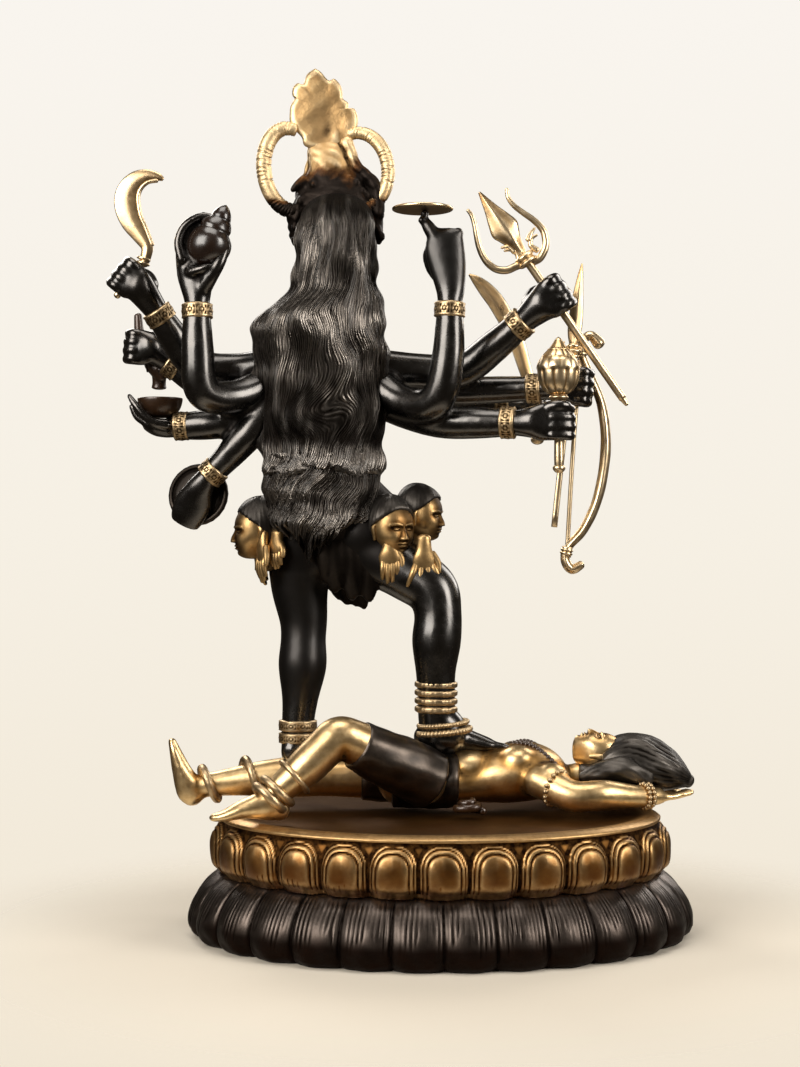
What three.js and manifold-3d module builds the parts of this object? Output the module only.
// A ten-armed standing figure on a lying one, cast in brass, on an oval plinth of two lotus rings.
// Millimetres, +Z up. +Y is the way the standing figure faces and +X is towards its right hand.
// The origin is the centre of the flat underside of the plinth.
import * as THREE from 'three';
import { mergeVertices } from 'three/addons/utils/BufferGeometryUtils.js';
import Module from 'manifold-3d';

// Driving dimensions of the plinth, in millimetres.
const plinth_height = 55;
const plinth_half_width = 221;
const plinth_half_depth = 166;
const plinth_lobes = 28;
const plinth_lobe_relief = 8;
const seat_height = 51;
const seat_half_width = 193;
const seat_half_depth = 143;
const seat_petals = 26;
const seat_petal_relief = 6;
const seat_tuck = 6;

// Driving dimensions of the figures and of what the hands hold, in millimetres.
const figure_height = 656;
const rest_gap = 0.3;
const fist_clearance = 0.4;
const disc_diameter = 53;
const disc_thickness = 3;
const disc_stem_diameter = 7;
const trident_shaft_diameter = 7;
const trident_blade_width = 21;
const trident_prong_diameter = 5.6;
const sickle_handle_diameter = 7;
const sickle_blade_thickness = 4;
const sword_handle_diameter = 8;
const sword_blade_thickness = 4;
const mace_shaft_diameter = 8;
const mace_head_diameter = 37;
const bow_limb_diameter = 8;
const bow_string_diameter = 4;
const arrow_shaft_diameter = 5;
const arrow_blade_thickness = 5;
const bowl_rim_diameter = 40;
const bowl_wall = 3;
const shield_diameter = 56;
const shield_thickness = 6;

// One share is a hundredth of the height of the figures above the seat.
const share = figure_height / 100;
const seat_top = plinth_height + rest_gap + seat_height;
const ground = seat_top + rest_gap;

const black_patina = { color: 0x1c1815, roughness: 0.38, metalness: 0.7 };
const antique_brass = { color: 0xb08d4c, roughness: 0.36, metalness: 0.9 };

const wasm = await Module();
wasm.setup();

const along_x = new THREE.Vector3(1, 0, 0);
const along_y = new THREE.Vector3(0, 1, 0);
const along_z = new THREE.Vector3(0, 0, 1);

// A place given in shares: x and y from the plinth's centre, z above the seat.
function place(x, y, z) {
  return new THREE.Vector3(x * share, y * share, ground + z * share);
}

// A closed body from vertices and triangles.
function body(vertices, triangles) {
  const made = new wasm.Manifold(new wasm.Mesh({
    numProp: 3,
    vertProperties: new Float32Array(vertices),
    triVerts: new Uint32Array(triangles),
  }));
  if (made.volume() < 0) {
    throw new Error('a body is inside out');
  }
  return made;
}

// A closed body from a three.js geometry.
function bodyOf(geometry, matrix) {
  const plain = geometry.clone();
  plain.deleteAttribute('normal');
  plain.deleteAttribute('uv');
  if (matrix) {
    plain.applyMatrix4(matrix);
  }
  const merged = mergeVertices(plain, 1e-4);
  return body(merged.attributes.position.array, merged.index.array);
}

function joined(bodies) {
  return bodies.reduce((whole, next) => whole.add(next));
}

function without(whole, cutters) {
  return cutters.reduce((rest, next) => rest.subtract(next), whole);
}

// The frame that turns +Z to the given direction, at the given point.
function frameAt(point, direction, beside = along_y) {
  const up = direction.clone().normalize();
  const side = beside.clone().addScaledVector(up, -beside.dot(up)).normalize();
  const other = new THREE.Vector3().crossVectors(side, up).negate();
  return new THREE.Matrix4().makeBasis(side, other, up).setPosition(point);
}

// A smooth curve through the stations, each a list of numbers, sampled in equal steps.
function smoothed(stations, steps) {
  const rows = [];
  const last = stations.length - 1;
  for (let piece = 0; piece < last; piece += 1) {
    const [a, b, c, d] = [piece - 1, piece, piece + 1, piece + 2].map((k) => {
      return stations[Math.min(last, Math.max(0, k))];
    });
    for (let step = 0; step < steps; step += 1) {
      const t = step / steps;
      rows.push(b.map((value, k) => 0.5 * (2 * value + (c[k] - a[k]) * t
        + (2 * a[k] - 5 * value + 4 * c[k] - d[k]) * t * t
        + (3 * value - a[k] - 3 * c[k] + d[k]) * t * t * t)));
    }
  }
  rows.push(stations[last]);
  return rows;
}

// A closed loft: stations are [x, y, z, across, through] in millimetres, where across is the half
// size along the vector named across, and through is the half size square to it.
function loft(stations, options = {}) {
  const { sides = 8, steps = 1, across = along_y, bulge = 0.5, turn = 0, section } = options;
  const rows = smoothed(stations, steps);
  const vertices = [];
  const triangles = [];
  const centres = rows.map((row) => new THREE.Vector3(row[0], row[1], row[2]));
  const heading = (k) => {
    const before = centres[Math.max(0, k - 1)];
    const after = centres[Math.min(rows.length - 1, k + 1)];
    return after.clone().sub(before).normalize();
  };
  rows.forEach((row, k) => {
    const ahead = heading(k);
    const side = across.clone().addScaledVector(ahead, -across.dot(ahead)).normalize();
    const other = new THREE.Vector3().crossVectors(ahead, side);
    for (let s = 0; s < sides; s += 1) {
      const angle = turn + (2 * Math.PI * s) / sides;
      const grow = section ? section(angle, k / (rows.length - 1)) : 1;
      const point = centres[k].clone()
        .addScaledVector(side, Math.cos(angle) * row[3] * grow)
        .addScaledVector(other, Math.sin(angle) * row[4] * grow);
      vertices.push(point.x, point.y, point.z);
    }
  });
  for (let k = 0; k + 1 < rows.length; k += 1) {
    for (let s = 0; s < sides; s += 1) {
      const here = k * sides + s;
      const next = k * sides + ((s + 1) % sides);
      triangles.push(here, next, next + sides, here, next + sides, here + sides);
    }
  }
  const ends = [[0, -1], [rows.length - 1, 1]];
  for (const [k, way] of ends) {
    const reach = way * bulge * Math.min(rows[k][3], rows[k][4]);
    const tip = centres[k].clone().addScaledVector(heading(k), reach);
    const centre = vertices.length / 3;
    vertices.push(tip.x, tip.y, tip.z);
    for (let s = 0; s < sides; s += 1) {
      const here = k * sides + s;
      const next = k * sides + ((s + 1) % sides);
      triangles.push(...(way > 0 ? [here, next, centre] : [next, here, centre]));
    }
  }
  return body(vertices, triangles);
}

// The same loft with its stations in shares: [x, y, z, across, through], through = across if left out.
function limb(stations, options) {
  return loft(stations.map(([x, y, z, wide, thick = wide]) => {
    const point = place(x, y, z);
    return [point.x, point.y, point.z, wide * share, thick * share];
  }), options);
}

// A rod of one diameter in millimetres through places in shares.
function rod(places, diameter, options) {
  return loft(places.map(([x, y, z]) => {
    const point = place(x, y, z);
    return [point.x, point.y, point.z, diameter / 2, diameter / 2];
  }), options);
}

// An ellipsoid, its place and half sizes in shares.
function ball(centre, half, detail = [8, 5]) {
  const geometry = new THREE.SphereGeometry(1, detail[0], detail[1]);
  geometry.rotateX(Math.PI / 2);
  geometry.scale(half[0] * share, half[1] * share, half[2] * share);
  return bodyOf(geometry, new THREE.Matrix4().setPosition(place(...centre)));
}

// A turned form: profile points are [radius, height] in millimetres, from the axis to the axis.
function turned(profile, point, direction, sides = 12) {
  const geometry = new THREE.LatheGeometry(profile.map(([r, h]) => new THREE.Vector2(r, h)), sides);
  geometry.rotateX(Math.PI / 2);
  return bodyOf(geometry, frameAt(point, direction));
}

// A band round a limb: a short drum, its radius and height in shares.
function band(centre, direction, radius, height, sides = 8) {
  const half = (height * share) / 2;
  const edge = radius * share;
  return turned([[0, -half], [edge, -half], [edge, half], [0, half]], place(...centre), direction, sides);
}

// The plinth

// Places spaced evenly round an oval, with the direction that points out of it.
function evenOval(half_width, half_depth, count) {
  const fine = 1440;
  const at = (k) => [half_width * Math.cos((2 * Math.PI * k) / fine),
    half_depth * Math.sin((2 * Math.PI * k) / fine)];
  const lengths = [0];
  for (let k = 1; k <= fine; k += 1) {
    const [x0, y0] = at(k - 1);
    const [x1, y1] = at(k);
    lengths.push(lengths[k - 1] + Math.hypot(x1 - x0, y1 - y0));
  }
  const places = [];
  let k = 0;
  for (let n = 0; n < count; n += 1) {
    const wanted = (lengths[fine] * n) / count;
    while (lengths[k + 1] < wanted) {
      k += 1;
    }
    const [x, y] = at(k + (wanted - lengths[k]) / (lengths[k + 1] - lengths[k]));
    const out = new THREE.Vector2(x / half_width ** 2, y / half_depth ** 2).normalize();
    places.push({ x, y, out });
  }
  return places;
}

// A ring of lobes: levels are [height, outward offset], relief(u, v) is the lobe's own relief,
// u across a lobe from 0 to 1 and v up the ring from 0 to 1.
function lotusRing({ half_width, half_depth, base, height, levels, lobes, samples, relief }) {
  const count = lobes * samples;
  const round = evenOval(half_width, half_depth, count);
  const vertices = [];
  const triangles = [];
  levels.forEach(([level, offset]) => {
    round.forEach(({ x, y, out }, n) => {
      const u = (n % samples) / samples;
      const push = offset + relief(u, level);
      vertices.push(x + out.x * push, y + out.y * push, base + height * level);
    });
  });
  for (let row = 0; row + 1 < levels.length; row += 1) {
    for (let n = 0; n < count; n += 1) {
      const here = row * count + n;
      const next = row * count + ((n + 1) % count);
      triangles.push(here, next, next + count, here, next + count, here + count);
    }
  }
  const bottom = vertices.length / 3;
  vertices.push(0, 0, base, 0, 0, base + height * levels[levels.length - 1][0]);
  const top_row = (levels.length - 1) * count;
  for (let n = 0; n < count; n += 1) {
    const next = (n + 1) % count;
    triangles.push(next, n, bottom, top_row + n, top_row + next, bottom + 1);
  }
  return body(vertices, triangles);
}

function lotusPlinth() {
  const lobe = (u, v) => plinth_lobe_relief * (Math.sin(Math.PI * u) - 1) * (1 - 0.6 * v);
  return lotusRing({
    half_width: plinth_half_width,
    half_depth: plinth_half_depth,
    base: 0,
    height: plinth_height,
    levels: [[0, -8], [0.24, 1.5], [0.66, -6], [1, -27]],
    lobes: plinth_lobes,
    samples: 3,
    relief: lobe,
  });
}

function lotusSeat() {
  const petal = (u, v) => {
    const wide = Math.abs(2 * u - 1);
    const top = 0.9 - 0.25 * wide ** 3;
    return v < 0.05 || v > top ? 0 : seat_petal_relief * (1 - wide ** 4);
  };
  return lotusRing({
    half_width: seat_half_width,
    half_depth: seat_half_depth,
    base: plinth_height + rest_gap,
    height: seat_height,
    levels: [[0, -seat_tuck], [0.3, 3], [0.8, 2], [1, -7]],
    lobes: seat_petals,
    samples: 4,
    relief: petal,
  });
}

// Hands

// The fingers and thumb of a fist round a shaft, at the end of an arm: grip is the place on the
// shaft's line, shaft the shaft's direction and reach the way the forearm points.
function fingers(grip, shaft, reach, size = 1) {
  const centre = place(...grip);
  const line = new THREE.Vector3(...shaft).normalize();
  const out = new THREE.Vector3(...reach);
  out.addScaledVector(line, -out.dot(line)).normalize();
  const side = new THREE.Vector3().crossVectors(line, out);
  const unit = size * share;
  const at = (a, b, c) => {
    const point = centre.clone().addScaledVector(out, a * unit).addScaledVector(side, b * unit)
      .addScaledVector(line, c * unit);
    return [point.x, point.y, point.z];
  };
  const knuckles = [];
  for (let step = 0; step <= 6; step += 1) {
    const swell = step % 2 ? 0.86 : 1;
    knuckles.push([...at(0.1, 0, (step - 3) * 0.72), 1.8 * swell * unit, 1.8 * swell * unit]);
  }
  const thumb = [[-2.4, 1.2, 1.2], [-0.3, 1.8, 1.9], [1.1, 1.2, 1.3]];
  return [loft(knuckles, { across: side, sides: 6, bulge: 0.3 }),
    loft(thumb.map(([a, b, c]) => [...at(a, b, c), 0.75 * unit, 0.75 * unit]), { sides: 4, across: line })];
}

// The arms, each a list of [x, y, z, radius] in shares from the shoulder to the wrist.
const disc_arm = [[-9.5, 2.6, 58, 2.5], [-4.8, -0.6, 54.6, 2.3], [-0.6, -4.1, 54.7, 2.3],
  [0.9, -5, 60, 2.2], [1.2, -4.9, 67.6, 1.7]];
const trident_arm = [[-10, 3.4, 60, 2.5], [-3, 3.8, 59.4, 2.3], [3, 3.2, 59.4, 2.3],
  [7.4, 1.2, 62.4, 2.2], [11.4, -0.6, 65.8, 1.8]];
const bow_arm = [[-10, 4.8, 58.4, 2.4], [-3, 6.2, 57.2, 2], [2.2, 6.6, 56.8, 2], [8.4, 6.1, 56.9, 1.9],
  [14, 4.8, 57, 1.7]];
const mace_arm = [[-9.5, 3.4, 56, 2.5], [-4.7, 1.8, 53.6, 2.3], [0, 0, 52.2, 2.3],
  [4.6, -1.5, 51.9, 2.2], [10, -2.9, 51.8, 1.8]];
const sword_arm = [[-10, 6, 57.8, 2.4], [-3.3, 9.4, 56.5, 2], [1.9, 11.6, 55.8, 2],
  [6.6, 12.8, 55.4, 1.9], [9.6, 13.3, 55, 1.7]];
const conch_arm = [[-22.2, 2.6, 58, 2.5], [-27.4, -1, 55.4, 2.3], [-31.4, -4.4, 55.8, 2.3],
  [-32, -5.1, 61, 2.2], [-32.1, -4.8, 67.4, 1.7]];
const sickle_arm = [[-22, 3.4, 60, 2.5], [-28, 3.9, 59.4, 2.3], [-33, 3.1, 60, 2.3],
  [-35.9, 1.5, 63.6, 2.1], [-38.3, 0.2, 67.3, 1.7]];
const head_arm = [[-22, 5.2, 59, 2.4], [-28.4, 8.6, 57.4, 2], [-32.5, 10.4, 57.6, 2],
  [-35.2, 10.4, 59.2, 1.9], [-38, 9.9, 61.2, 1.6]];
const bowl_arm = [[-22.6, 3.2, 56.6, 2.4], [-26.3, 2.2, 53.6, 2.1], [-29.4, 1.6, 52.1, 2.1],
  [-33.3, 1.8, 51.7, 2], [-36, 2, 51.6, 1.6]];
const shield_arm = [[-21.8, 1.8, 56, 2.4], [-23.9, 0.8, 52.9, 2.2], [-25.8, 0.4, 50.4, 2.2],
  [-28.8, 0.9, 47.2, 1.9], [-31.4, 1.4, 44.6, 1.6]];

// An arm with its bracelet, carried on into the hand by further stations [x, y, z, across, through].
function armAndPalm(arm, palm, steps = 2) {
  const wrist = arm[arm.length - 1];
  const elbow = arm[arm.length - 2];
  const back = (length, grow) => {
    const away = Math.hypot(wrist[0] - elbow[0], wrist[1] - elbow[1], wrist[2] - elbow[2]);
    const point = [0, 1, 2].map((k) => wrist[k] + ((elbow[k] - wrist[k]) * length) / away);
    return [...point, wrist[3] + grow, wrist[3] + grow];
  };
  const stations = smoothed(arm.map((row) => [...row, row[3]]), steps);
  stations.pop();
  const ring = [back(2.05, 0.05), back(2, 0.45), back(0.1, 0.45), back(0, 0)];
  return limb([...stations, ...ring, ...palm], { across: along_y, sides: 6, bulge: 0.3 });
}

// The palm behind a fist, between the wrist and the grip.
function palmTo(arm, grip) {
  const wrist = arm[arm.length - 1];
  return [[0.45, 1.6, 2], [0.92, 1.5, 2.3]].map(([along, across, through]) => {
    return [...[0, 1, 2].map((k) => wrist[k] + (grip[k] - wrist[k]) * along), across, through];
  });
}

// What the hands hold: each line is [from, to] in shares, and the hands are bored round it.
const disc_centre = [-2.4, -4.4, 79.7];
const trident_line = [[9.6, -1.2, 76.4], [24.9, -1.2, 54.4]];
const trident_grip = [15, -1.2, 68.6];
const sickle_line = [[-43.3, -0.6, 69], [-39.6, -0.6, 73.6]];
const sickle_grip = [-41.6, -0.6, 71.1];
const sword_line = [[14.1, 13.7, 50.6], [13.2, 13.7, 58]];
const sword_grip = [13.7, 13.7, 54.6];
const mace_line = [[15.7, -3.3, 45.1], [15.6, -3.3, 63.2]];
const mace_grip = [15.65, -3.3, 51.8];
const arrow_line = [[15.6, 3.2, 38], [18.2, 3.2, 62.4]];
const bow_curve = [[22, 5.6, 63.2], [20.8, 5.6, 64.3], [19.6, 5.6, 63.4], [19.6, 5.6, 61.6],
  [20.8, 5.6, 58.6], [22.3, 5.6, 54.8], [22.9, 5.6, 50], [22.5, 5.6, 45.2], [21.5, 5.6, 41.1],
  [19.8, 5.6, 37.6], [17.9, 5.6, 35.4], [17.3, 5.6, 33.6], [18.2, 5.6, 32.2], [19.5, 5.6, 32.8]];

const bow_string = [[19.5, 5.6, 62.4], [18.4, 5.6, 48.6], [17.6, 5.6, 35]];
const head_grip = [-41.6, 9.2, 63];

function direction(line) {
  return line[1].map((value, k) => value - line[0][k]);
}

function fistedArms() {
  const holds = [
    [trident_arm, trident_grip, direction(trident_line), [1, -0.2, 0.9]],
    [sickle_arm, sickle_grip, direction(sickle_line), [-1, 0, 1]],
    [mace_arm, mace_grip, direction(mace_line), [1, -0.1, 0]],
    [head_arm, head_grip, [0.1, 0, 1], [-1, -0.2, 0.3]],
  ];
  // Two fists are hidden behind the others, and are plain closed hands.
  const plain = [
    armAndPalm(sword_arm, [...palmTo(sword_arm, sword_grip), [15.6, 13.9, 54.6, 1.3, 1.8]], 1),
    armAndPalm(bow_arm, [[16, 4.4, 57.1, 1.8, 2.2], [18.6, 4.4, 57.4, 2.4, 2.8],
      [21.6, 4.9, 57.4, 1.9, 2.4]], 1),
  ];
  return plain.concat(holds.flatMap(([arm, grip, shaft, reach]) => {
    return [armAndPalm(arm, palmTo(arm, grip)), ...fingers(grip, shaft, reach)];
  }));
}

// Standing figure

function torso() {
  return joined([
    limb([[-15.6, 3.8, 34.5, 5.2, 4], [-15.9, 3.9, 38.5, 8, 5.2], [-15.8, 3.9, 42.5, 6.9, 4.6],
      [-15.7, 3.8, 47, 4.9, 3.7], [-15.7, 3.8, 52, 5.6, 4], [-15.7, 3.7, 57, 6.9, 4.4],
      [-15.7, 3.4, 61, 8.2, 3.7], [-15.4, 3.1, 64, 4.4, 3], [-14.9, 3.1, 67, 2.4, 2.4],
      [-14.3, 3.5, 71, 2.2, 2.3]], { across: along_x, sides: 12 }),
    ball([-18.8, 6.6, 57], [2.7, 2.5, 2.7]),
    ball([-12.6, 6.6, 57], [2.7, 2.5, 2.7]),
  ]);
}

// The head and the tall crown are one turned-up form: the face is on its front, and the crown is a
// leaf of overlapping flames, wide across and thin through.
function headAndCrown() {
  const nose_ring = 0.235;
  const face = (angle, along) => {
    const front = Math.max(0, Math.sin(angle)) ** 12;
    return Math.abs(along - nose_ring) < 0.01 ? 1 + 0.18 * front : 1;
  };
  return limb([[-14.6, 3.2, 67, 2.4, 2.4], [-14.3, 3.5, 70.4, 2.1, 2.2], [-14.1, 4.6, 71.4, 2.2, 2.9],
    [-14, 4.2, 74, 3.7, 4.2], [-14, 3.9, 76.8, 4.2, 4.7], [-14, 3.6, 80.4, 4.7, 5],
    [-13.9, 3.3, 83, 4.5, 4.6], [-13.7, 2.9, 85.2, 3.3, 3.3], [-14, 2.7, 87, 2.4, 2.2],
    [-14.5, 2.7, 89, 2.4, 1.7], [-14.9, 2.7, 91.4, 4.2, 1.5], [-15.2, 2.7, 93.2, 3.5, 1.4],
    [-15.5, 2.7, 94.8, 4, 1.3], [-15.8, 2.7, 96.2, 2.8, 1.1], [-16.2, 2.7, 97.6, 2.6, 0.9],
    [-16.8, 2.7, 99.4, 0.8, 0.5]], { across: along_x, sides: 10, section: face, turn: Math.PI / 10 });
}

// A hoop beside the head, from the crown down to behind the ear.
function hoop(centre, half_width, half_height, lean, thick, way) {
  const stations = [];
  const steps = 9;
  const sweep = 1.32 * Math.PI;
  for (let k = 0; k <= steps; k += 1) {
    const angle = Math.PI / 2 - (sweep * k) / steps;
    const x = centre[0] + way * (Math.cos(angle) * half_width + Math.sin(angle) * lean);
    stations.push([x, centre[1] - 0.6 * Math.cos(angle), centre[2] + Math.sin(angle) * half_height,
      thick * (1 + 0.16 * (k % 2))]);
  }
  return limb(stations, { sides: 6, across: along_y });
}

// The hair: one long mass down the back with rows of wavy locks.
function hair() {
  const locks = 4;
  const wave = (angle, along) => {
    const back = Math.max(0, Math.sin(angle));
    const drift = 0.55 * Math.sin(along * 15) + 0.25 * Math.sin(along * 31 + 1);
    return 1 + (0.02 + 0.1 * back) * Math.cos(locks * (angle * 2 + drift));
  };
  const fall = limb([[-13.8, 2.6, 83.6, 3.6, 3.4], [-13.9, 1.9, 80, 5.1, 5], [-13.9, 1.4, 76, 5.4, 4.8],
    [-14.2, 1, 71.6, 5.9, 4], [-15.3, 0.8, 67.4, 7.4, 3.8], [-16.1, 0.6, 62.6, 9, 4],
    [-16, 0.5, 57, 8.9, 4], [-15.7, 0.4, 52, 8.7, 3.8], [-16.1, 0.1, 48.8, 8.8, 3.9],
    [-15.6, 0.4, 45.6, 8, 3.6], [-15.8, 0, 41, 7.4, 3.6], [-17, -0.2, 37, 5.6, 3],
    [-17.8, 0, 34.4, 2.8, 1.8]], { across: along_x, sides: 24, section: wave });
  const ends = [];
  const drops = [36.6, 34.2, 36.2];
  for (let k = 0; k < drops.length; k += 1) {
    const x = -20.6 + 3.6 * k;
    const drop = drops[k];
    ends.push(limb([[x + 0.4, -1.2, drop + 6.5, 1.5, 1.3], [x, -1.3, drop + 3, 1.2, 1],
      [x + 0.3, -0.9, drop, 0.4, 0.4]], { across: along_x, sides: 6 }));
  }
  return joined([fall, ...ends]);
}

// The legs, each with its anklets as rings of the same casting.
function legs() {
  const ring_pitch = 1.1;
  const rings = (x, y, low, count, radius) => {
    const stations = [];
    for (let k = 0; k < count; k += 1) {
      const top = low - k * ring_pitch;
      stations.push([x, y, top, radius, radius], [x, y, top - ring_pitch / 2, radius * 0.9, radius * 0.9]);
    }
    return stations;
  };
  return joined([
    limb([[-18.7, 4.2, 40, 5, 5], [-18.8, 4.5, 35.6, 4.9, 4.9], [-19.1, 4.8, 30, 4, 4.2],
      [-18.6, 4.6, 24.4, 3.2, 3.4], [-18.7, 4, 19.6, 3.2, 3.5], [-19.2, 3.6, 13.6, 2.3, 2.4],
      ...rings(-19.4, 3.4, 10.8, 2, 3.1), [-19.4, 3.4, 7, 2.3, 2.4]], { across: along_x, sides: 8 }),
    limb([[-12, 3.8, 38.6, 4.8, 4.6], [-9.4, 2.9, 35.2, 4.6, 4.6], [-4.6, 1.2, 32, 3.9, 4],
      [-0.6, -0.3, 28.6, 3.4, 3.5], [-0.5, -1, 23, 3.2, 3.3], [-0.6, -1, 18.6, 2.6, 2.7],
      ...rings(-0.5, -0.7, 16.8, 3, 3.1), [-0.4, -0.5, 12.6, 2.5, 2.6], [0.3, -0.2, 11.2, 3.5, 3.3],
      [0.4, -0.2, 9.8, 3.3, 3.1]], { across: along_x, sides: 8 }),
    limb([[-2.5, -0.4, 9.2, 1.6, 1.6], [0.6, -0.1, 9.8, 2, 1.9], [4.6, 0.8, 9, 2.2, 1.2],
      [8.4, 1.6, 8.4, 2.3, 0.8]], { across: along_y, sides: 7 }),
    limb([[-20, 1.8, 7.2, 1.7, 1.4], [-19.4, 4.2, 7.4, 2.1, 1.7], [-18.8, 7.4, 6.4, 2.2, 1.3],
      [-18.2, 10.4, 5.4, 2.3, 0.8]], { across: along_x, sides: 7 }),
  ]);
}

// A severed head with its cap of hair, its nose towards the given direction in the level plane,
// and with hair hanging under it where hang is over 0.
function smallHead(centre, facing, size, hang) {
  const [x, y, z] = centre;
  const nose_ring = 3;
  const rings = [[0, 4, 1.3], [-0.1, 2.8, 2.5], [-0.1, 1.2, 2.9], [0, 0.9, 2.3], [0.1, -0.5, 2.3],
    [0, -2.2, 1.7], [-0.2, -3.2, 1.2]];
  if (hang) {
    rings.push([-0.3, -3.2 - hang, 1.7]);
  }
  const face = (angle, along) => {
    const front = Math.max(0, Math.cos(angle - facing)) ** 10;
    const ring = along * (rings.length - 1);
    return ring > nose_ring && ring < nose_ring + 1.5 ? 1 + 0.35 * front : 1;
  };
  return limb(rings.map(([out, up, radius]) => [x + Math.cos(facing) * out * size,
    y + Math.sin(facing) * out * size, z + up * size, radius * size]).reverse(),
  { across: along_x, sides: 7, section: (angle, along) => face(angle, 1 - along), turn: facing });
}

function garlandAndSkirt() {
  const bodies = [];
  const side_heads = [[-24.4, 2.6, 38.2, Math.PI * 0.96], [-6.6, 0.2, 37.4, -Math.PI * 0.2],
    [-2.8, 3.4, 39.6, Math.PI * 0.04]];
  for (const [x, y, z, facing] of side_heads) {
    bodies.push(smallHead([x, y, z], facing, 0.95, 2.6));
  }
  // The rest of the garland goes round the front of the hips.
  const front_heads = 4;
  for (let k = 0; k < front_heads; k += 1) {
    const angle = Math.PI * (0.84 - (0.68 * k) / (front_heads - 1));
    const x = -14.4 + 9.6 * Math.cos(angle);
    const y = 4.4 + 6.4 * Math.sin(angle);
    bodies.push(smallHead([x, y, 38.2 - 1.6 * Math.sin(angle)], angle, 0.75, 0));
  }
  // The skirt of hanging hands is a flared ring, a ridge for each hand.
  const hands = 9;
  const ridge = (angle, along) => 1 + 0.07 * along * Math.cos(hands * angle);
  bodies.push(limb([[-15.4, 4, 42.6, 7.4, 5.1], [-14.2, 3.9, 38.6, 9.8, 6], [-12.6, 4.2, 34.4, 11.2, 6.3],
    [-12.2, 4.6, 31, 11.8, 6.4]], { across: along_x, sides: 27, bulge: 0, section: ridge }));
  // A short cloth hangs lower between the thighs, in front.
  bodies.push(limb([[-12.8, 7, 34, 5.2, 2], [-11.8, 8.6, 28.4, 3.2, 0.8]], { across: along_x, sides: 7 }));
  return joined(bodies);
}

// The raised hand under the disc: one finger up with a stem on it, the rest folded.
function discHand() {
  return joined([
    armAndPalm(disc_arm, [[0.8, -4.7, 70.6, 1.8, 2.4], [0.4, -4.5, 74, 1.8, 3.3], [0.9, -4.4, 77, 1.3, 2.2]]),
    limb([[-1, -4.4, 73.4, 1.2], [-2, -4.4, 76, 0.9], [-2.3, -4.4, 78, 0.7]], { sides: 6 }),
  ]);
}

function discStem() {
  const top = place(...disc_centre);
  const foot = place(disc_centre[0], disc_centre[1], 77);
  const height = top.z - foot.z - rest_gap;
  const edge = disc_stem_diameter / 2;
  return turned([[0, 0], [edge * 0.8, 0], [edge, height], [0, height]], foot, along_z, 8);
}

// The conch in a cupped hand: a turned body with a stepped spire.
function conchHand() {
  const foot = place(-32.4, -5, 72.4);
  const axis = place(-28.1, -5, 80.2).sub(foot);
  const long = axis.length();
  const profile = [[0, 0], [0.26, 0.14], [0.34, 0.34], [0.32, 0.5], [0.22, 0.6], [0.2, 0.72], [0.12, 0.78],
    [0, 1]];
  return joined([
    armAndPalm(conch_arm, [[-32.4, -4.9, 70.6, 1.9, 2.3], [-33.2, -5, 74.4, 1.6, 2.2],
      [-32.4, -5, 77.4, 1, 1.3]]),
    turned(profile.map(([r, h]) => [r * long, h * long]), foot, axis, 8),
    limb([[-31, -6.6, 71.4, 0.9], [-29.2, -7.4, 73.6, 0.8], [-28.2, -6.4, 75.6, 0.7]], { sides: 5 }),
  ]);
}

// A head hangs by its hair from a fist.
function hangingHead() {
  return joined([
    limb([[-41.9, 9.2, 67.4, 0.7], [...head_grip, 0.7], [-40.2, 9.5, 59.2, 0.9]], { sides: 5 }),
    smallHead([-39.4, 9.8, 56.8], -Math.PI * 0.6, 1, 1.4),
  ]);
}

// The palm that carries a hollow bowl.
const bowl_foot = [-37.9, 2.2, 52.8];

function bowlHand() {
  const edge = bowl_rim_diameter / 2;
  const foot = place(...bowl_foot);
  const outer = turned([[0, 0], [edge * 0.45, 0], [edge * 0.86, edge * 0.38], [edge, edge * 0.84],
    [0, edge * 0.84]], foot, along_z, 10);
  const inner_edge = edge - bowl_wall;
  const inner = turned([[0, bowl_wall], [inner_edge * 0.45, bowl_wall],
    [inner_edge * 0.86, edge * 0.38 + bowl_wall * 0.6], [inner_edge, edge * 0.84 + bowl_wall],
    [0, edge * 0.84 + bowl_wall]], foot, along_z, 10);
  const tips = [[3.3, 3.6], [1.4, 1]];
  const hand = joined([
    armAndPalm(bowl_arm, [[-37.6, 2.3, 51.6, 2.2, 1.2], [-39.6, 2.4, 52, 2.2, 0.9]], 1),
    ...tips.map(([near, far]) => {
      return limb([[-39.6, near, 52, 0.8], [-41.8, far, 53.3, 0.7], [-42.2, far, 55, 0.4]], { sides: 4 });
    }),
  ]);
  return hand.add(outer).subtract(inner);
}

// The lowest left hand lies on the back of a round shield.
function shieldHand() {
  const edge = shield_diameter / 2;
  const half = shield_thickness / 2;
  const middle = place(-32.9, 4, 42.4);
  const facing = new THREE.Vector3(-0.24, -1, 0.16);
  return joined([
    turned([[0, -half * 1.4], [edge * 0.86, -half], [edge, 0], [edge * 0.88, half], [0, half * 0.9]],
      middle, facing, 14),
    armAndPalm(shield_arm, [[-32.6, 2.2, 43, 1.5, 2.1], [-33.8, 2.6, 40.6, 1.1, 2.1],
      [-34.6, 3, 38.9, 0.7, 1.6]], 1),
  ]);
}

// Held pieces, each a body with a clearance added to its shaft when it serves as a cutter.

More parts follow.
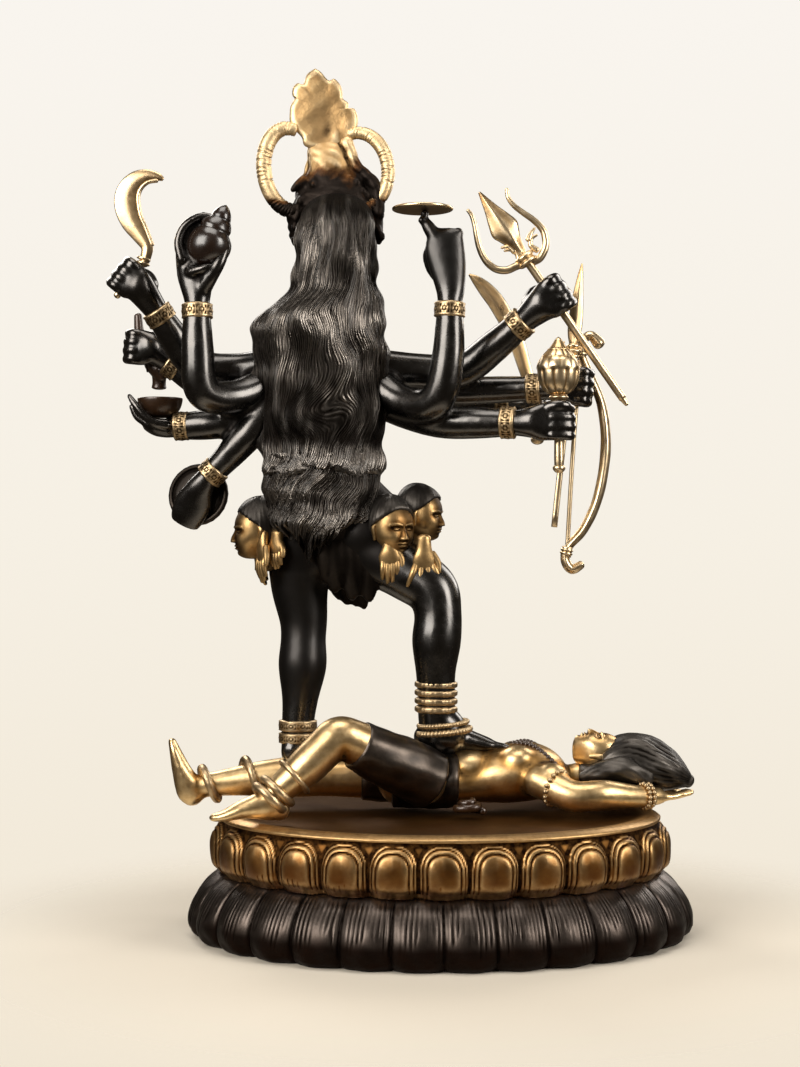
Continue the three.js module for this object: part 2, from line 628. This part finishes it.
function trident(clearance = 0) {
  const shaft = rod(trident_line, trident_shaft_diameter + 2 * clearance, { bulge: 0.2 });
  if (clearance) {
    return shaft;
  }
  const half = trident_blade_width / 2 / share;
  const prong = trident_prong_diameter / 2 / share;
  return joined([
    shaft,
    limb([[10.6, -1.2, 75, 0.8, 0.7], [9.6, -1.2, 76.4, 0.9, half * 0.75], [8.7, -1.2, 77.7, 0.8, half],
      [7, -1.2, 80.1, 0.6, half * 0.52], [5.2, -1.2, 82.7, 0.15, 0.15]],
    { sides: 4, steps: 1, across: along_y }),
    band([11.6, -1.2, 73.5], new THREE.Vector3(-1, 0, 1.43), 1.25, 1.6, 10),
    limb([[11.6, -1.2, 73.2, prong], [9.4, -1.2, 72, prong], [7.1, -1.2, 72.4, prong],
      [5.8, -1.2, 74.3, prong], [5.2, -1.2, 77, prong * 0.9], [4, -1.2, 79.9, prong * 0.4]],
    { sides: 5 }),
    limb([[11.6, -1.2, 73.5, prong], [13.2, -1.2, 74.6, prong], [13.9, -1.2, 76.3, prong],
      [12.6, -1.2, 78.9, prong], [9.8, -1.2, 80.4, prong], [8.6, -1.2, 81.8, prong * 0.8],
      [9.1, -1.2, 83.2, prong * 0.4]], { sides: 5 }),
  ]);
}

function sickle(clearance = 0) {
  const handle = rod(sickle_line, sickle_handle_diameter + 2 * clearance, { bulge: 0.4 });
  if (clearance) {
    return handle;
  }
  const thin = sickle_blade_thickness / 2 / share;
  return handle.add(limb([[-39.8, -0.6, 73.4, thin, 0.7], [-39.2, -0.6, 75.4, thin, 0.7],
    [-40.4, -0.6, 77.4, thin, 1.3], [-41.9, -0.6, 79.8, thin, 1.7], [-42, -0.6, 82.2, thin, 1.7],
    [-40.8, -0.6, 84.3, thin, 1.3], [-39.1, -0.6, 85.1, thin, 0.8], [-37.2, -0.6, 84.7, thin * 0.6, 0.2]],
  { sides: 4, across: along_y }));
}

function sword(clearance = 0) {
  const handle = rod(sword_line, sword_handle_diameter + 2 * clearance, { bulge: 0.4 });
  if (clearance) {
    return handle;
  }
  const thin = sword_blade_thickness / 2 / share;
  return joined([
    handle,
    band([13.3, 13.7, 57.6], new THREE.Vector3(-0.12, 0, 1), 1.5, 0.9, 10),
    limb([[13.2, 13.7, 57.6, thin, 0.8], [12.2, 13.7, 61, thin, 0.95], [10.9, 13.7, 65, thin, 1.1],
      [8.6, 13.7, 69.4, thin, 1.2], [6, 13.7, 72.4, thin, 0.8], [4.5, 13.7, 73.8, thin * 0.6, 0.2]],
    { sides: 4, across: along_y }),
  ]);
}

function mace(clearance = 0) {
  const radius = mace_shaft_diameter / 2 + clearance;
  const foot = place(...mace_line[0]);
  const axis = place(...mace_line[1]).sub(foot);
  const long = axis.length();
  const shaft_top = long * 0.54;
  if (clearance) {
    return turned([[0, -5], [radius, -5], [radius, shaft_top], [0, shaft_top]], foot, axis, 10);
  }
  const full = mace_head_diameter / 2;
  const profile = [[0, 0], [0.2, 0.01], [0.28, 0.035], [0.2, 0.065], [0, 0.07]];
  const head = [[0, 0.53], [0.3, 0.53], [0.42, 0.555], [0.36, 0.575], [0.72, 0.62], [0.96, 0.69], [1, 0.75],
    [0.86, 0.82], [0.5, 0.87], [0.54, 0.89], [0.34, 0.91], [0.22, 0.95], [0, 1]];
  return joined([
    turned([[0, long * 0.03], [radius, long * 0.03], [radius, shaft_top], [0, shaft_top]], foot, axis, 10),
    turned(profile.map(([r, h]) => [r * full, h * long]), foot, axis, 8),
    turned(head.map(([r, h]) => [r * full, h * long]), foot, axis, 10),
  ]);
}

function bow(clearance = 0) {
  const limbs = rod(bow_curve, bow_limb_diameter + 2 * clearance, { sides: 5, steps: 2 });
  const string = rod(bow_string, bow_string_diameter + 2 * clearance, { sides: 5 });
  return limbs.add(string);
}

function arrow(clearance = 0) {
  const shaft = rod(arrow_line, arrow_shaft_diameter + 2 * clearance, { sides: 7, bulge: 0.1 });
  if (clearance) {
    return shaft;
  }
  const thin = arrow_blade_thickness / 2 / share;
  return joined([
    shaft,
    limb([[18.2, 3.2, 62.2, thin, 0.3], [18.5, 3.2, 65.4, thin, 0.95], [18.8, 3.2, 68.4, thin, 0.8],
      [19.4, 3.2, 73.8, thin * 0.4, 0.12]], { sides: 4, across: along_y }),
    band([18.1, 3.2, 61.8], new THREE.Vector3(0.11, 0, 1), 1.2, 1.2, 8),
  ]);
}

function disc() {
  const edge = disc_diameter / 2;
  return turned([[0, 0], [edge * 0.94, 0], [edge, disc_thickness / 2], [edge * 0.94, disc_thickness],
    [0, disc_thickness]], place(...disc_centre), along_z, 20);
}

// Lying figure

function lyingFigure() {
  const whole = joined([
    limb([[-5.4, 0.8, 4.4, 4.6, 3.9], [-1, 0.8, 4.2, 5.2, 3.8], [3.4, 0.9, 4, 4.3, 3.4],
      [8, 1.4, 4.6, 5.4, 3.9], [12.6, 1.9, 4.9, 6, 4], [15.6, 2.2, 4, 4.6, 3], [17, 2.3, 3.8, 2, 2],
      [19, 2.3, 4.2, 1.8, 1.9]], { across: along_y, sides: 9 }),
    ball([22, 2.3, 5.9], [4.4, 3.4, 3.6]),
    limb([[20.2, 2.3, 8.6, 0.5, 0.4], [21.6, 2.3, 9.4, 0.4, 0.35]], { across: along_y, sides: 6 }),
    limb([[22, 2.3, 4.6, 4.2, 3.6], [25.6, 2.3, 5.6, 4.8, 4.6], [29, 2.2, 4.8, 4.4, 3.7],
      [32, 2, 3.6, 2.6, 2], [33.4, 1.8, 3, 1, 0.8]], { across: along_y, sides: 8 }),
    // Both arms go back beside the head, with the hands under the hair.
    limb([[13.4, -3.4, 4.2, 2.2], [16.2, -5.8, 3, 2.1], [18.8, -6.4, 2.7, 2], [23, -5.4, 2.6, 1.9],
      [27.4, -3, 2.2, 1.3], [30, -1.4, 2, 1.2], [33.6, -0.2, 2.3, 0.7]], { across: along_y, sides: 6 }),
    limb([[13.4, 7.2, 4.2, 2.2], [16.2, 9.4, 3, 2.1], [18.8, 10, 2.7, 2], [23, 9, 2.6, 1.9],
      [27.4, 6.8, 2.2, 1.3], [30, 5.4, 2, 1.2], [33, 4.4, 1.6, 0.8]], { across: along_y, sides: 7 }),
    // The near leg is bent with its knee up, and the far leg lies straight.
    limb([[-2, -2.8, 4.4, 3.5], [-7.3, -5.8, 7.6, 3.3], [-12.4, -8.2, 10.6, 2.9], [-14.2, -8.9, 10.4, 2.7],
      [-17.2, -9.8, 7.2, 2.5], [-20.8, -10.7, 4.3, 2], [-22.6, -11.1, 2.7, 1.6]],
    { across: along_y, sides: 7 }),
    limb([[-21, -10.8, 1.6, 1.5, 1.5], [-24, -11.4, 1.7, 1.6, 1.2], [-28, -12, 0.9, 1.4, 0.7]],
      { across: along_y, sides: 8 }),
    limb([[-3, 4.2, 4, 3.5], [-9, 4, 4, 3.1], [-15, 3.5, 3.9, 2.6], [-21, 2.8, 4, 2.6], [-27, 2, 3.6, 2],
      [-32, 1.5, 2.8, 1.6]], { across: along_y, sides: 7 }),
    limb([[-34, 1.3, 1.8, 1.5, 1.8], [-34.8, 1.3, 4.4, 1.6, 1.6], [-36, 1.3, 8.6, 1.4, 0.8]],
      { across: along_y, sides: 8 }),
    band([-20.4, -10.6, 4.5], new THREE.Vector3(-1, -0.2, -0.75), 2.9, 1.6, 8),
    band([-29, 1.8, 3.4], new THREE.Vector3(-1, 0, -0.1), 2.7, 2, 8),
    band([27.2, -3.1, 2.3], new THREE.Vector3(1, 0.5, 0), 1.9, 1.4, 8),
  ]);
  const room = 2 * figure_height;
  const below = new THREE.BoxGeometry(room, room, room);
  below.translate(0, 0, ground - room / 2);
  return whole.subtract(bodyOf(below));
}

// The standing figure is cut by the lying one, moved a little each way, so a gap is left between them.
function clearOf(lying) {
  const moves = [[0, 0, 1], [1, 0, 0], [-1, 0, 0], [0, 1, 0], [0, -1, 0]];
  return moves.map((move) => lying.translate(move.map((value) => value * rest_gap)));
}

function standingFigure(lying) {
  const whole = joined([
    torso(),
    headAndCrown(),
    hoop([-20.2, 2.2, 86.4], 3.6, 5.6, 0.4, 0.95, -1),
    hoop([-11, 2.2, 86.2], 4, 5.2, -0.2, 0.85, 1),
    hair(),
    legs(),
    garlandAndSkirt(),
    ...fistedArms(),
    discHand(),
    discStem(),
    conchHand(),
    hangingHead(),
    bowlHand(),
    shieldHand(),
  ]);
  return without(whole, [
    ...clearOf(lying),
    trident(fist_clearance),
    sickle(fist_clearance),
    sword(fist_clearance),
    mace(fist_clearance),
    bow(fist_clearance),
    arrow(fist_clearance),
  ]);
}

// The object

function meshOf(name, made, look) {
  const mesh = made.getMesh();
  const geometry = new THREE.BufferGeometry();
  const stride = mesh.numProp;
  const positions = new Float32Array((mesh.vertProperties.length / stride) * 3);
  for (let k = 0; k < positions.length / 3; k += 1) {
    positions.set(mesh.vertProperties.subarray(k * stride, k * stride + 3), k * 3);
  }
  geometry.setAttribute('position', new THREE.BufferAttribute(positions, 3));
  geometry.setIndex(new THREE.BufferAttribute(mesh.triVerts, 1));
  const shown = new THREE.Mesh(geometry, new THREE.MeshStandardMaterial(look));
  shown.name = name;
  return shown;
}

const lying = lyingFigure();
const object = new THREE.Group();
object.add(meshOf('lotus_plinth', lotusPlinth(), black_patina));
object.add(meshOf('lotus_seat', lotusSeat(), antique_brass));
object.add(meshOf('lying_figure', lying, antique_brass));
object.add(meshOf('kali_figure', standingFigure(lying), black_patina));
object.add(meshOf('disc', disc(), antique_brass));
object.add(meshOf('trident', trident(), antique_brass));
object.add(meshOf('sickle', sickle(), antique_brass));
object.add(meshOf('sword', sword(), antique_brass));
object.add(meshOf('mace', mace(), antique_brass));
object.add(meshOf('bow', bow(), antique_brass));
object.add(meshOf('arrow', arrow(), antique_brass));

export default object;
